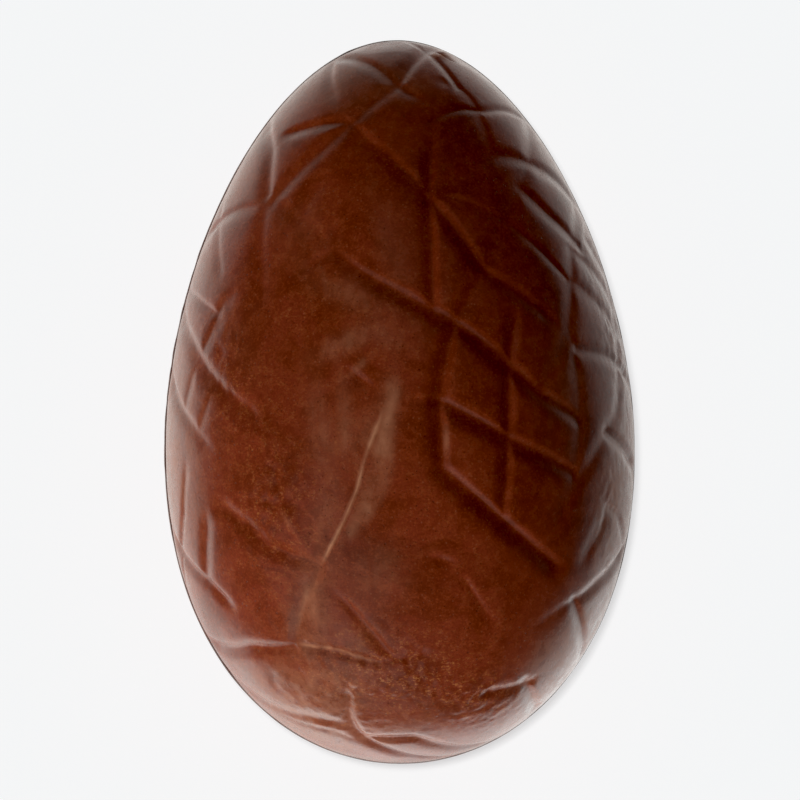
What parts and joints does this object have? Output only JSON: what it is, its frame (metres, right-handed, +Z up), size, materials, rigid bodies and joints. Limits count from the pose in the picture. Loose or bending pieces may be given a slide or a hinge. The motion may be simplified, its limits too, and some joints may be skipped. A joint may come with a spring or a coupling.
{
  "type": "chocolate egg",
  "caption": "Hollow-style moulded milk chocolate egg with a crackle of soft V creases, lying on its side on a small flat spot.",
  "frame": {"origin": "centre of the bounding box in X and Y, at the level of the flat spot that the egg lies on", "axes": "+Z up, +Y along the egg's long axis towards its narrow end, +X across the egg; the seam of the two halves is level"},
  "size_m": [0.0648, 0.1, 0.0643],
  "materials": {
    "milk_chocolate": "satin milk chocolate with a faint pale haze"
  },
  "bodies": {
    "root": {"chocolate_egg": "milk_chocolate"}
  },
  "joints": []
}
